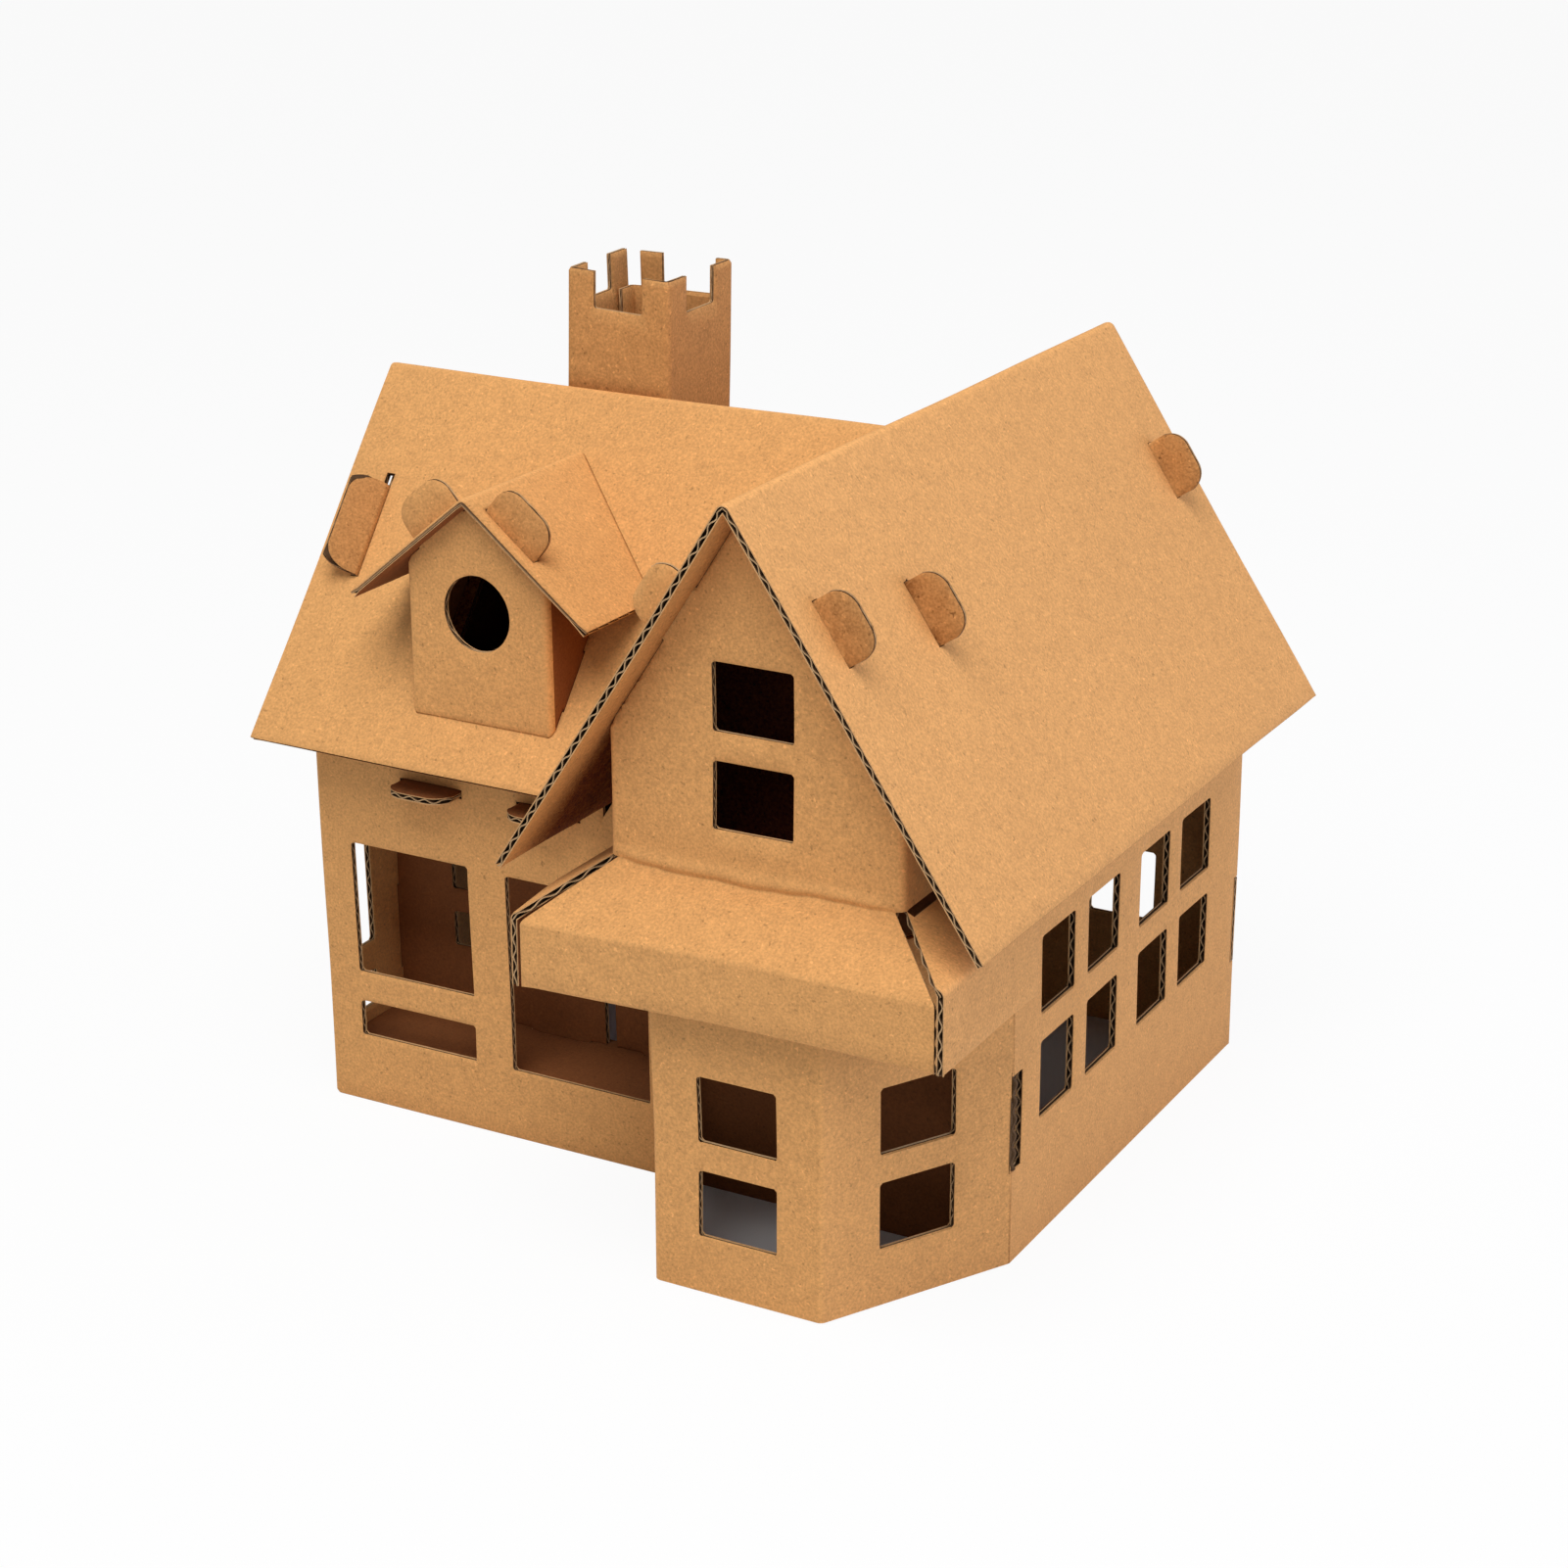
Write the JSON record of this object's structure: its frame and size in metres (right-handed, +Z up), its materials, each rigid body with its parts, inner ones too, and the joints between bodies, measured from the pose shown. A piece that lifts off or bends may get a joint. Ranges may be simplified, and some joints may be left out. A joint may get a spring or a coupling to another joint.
{
  "type": "cardboard playhouse",
  "caption": "Toy cottage of slotted kraft corrugated board with a porch, a gabled wing over a bay, a hipped canopy, a dormer and a notched chimney, for painting and play.",
  "frame": {"origin": "on the table, under the middle of the house's box", "axes": "+Z up, -Y towards the bay's front, +X towards the wing's side wall"},
  "size_m": [0.334, 0.3082, 0.3175],
  "materials": {
    "kraft_board": "matte",
    "kraft_board_inside": "matte"
  },
  "bodies": {
    "root": {"front_wall": "kraft_board", "bay_and_side_wall": "kraft_board", "rear_wall": "kraft_board", "attic_floor": "kraft_board_inside", "porch_wall": "kraft_board_inside", "porch_deck": "kraft_board_inside", "front_gable_canopy": "kraft_board", "wing_roof": "kraft_board", "main_roof": "kraft_board", "dormer_body": "kraft_board", "dormer_roof": "kraft_board", "chimney": "kraft_board"}
  },
  "joints": []
}
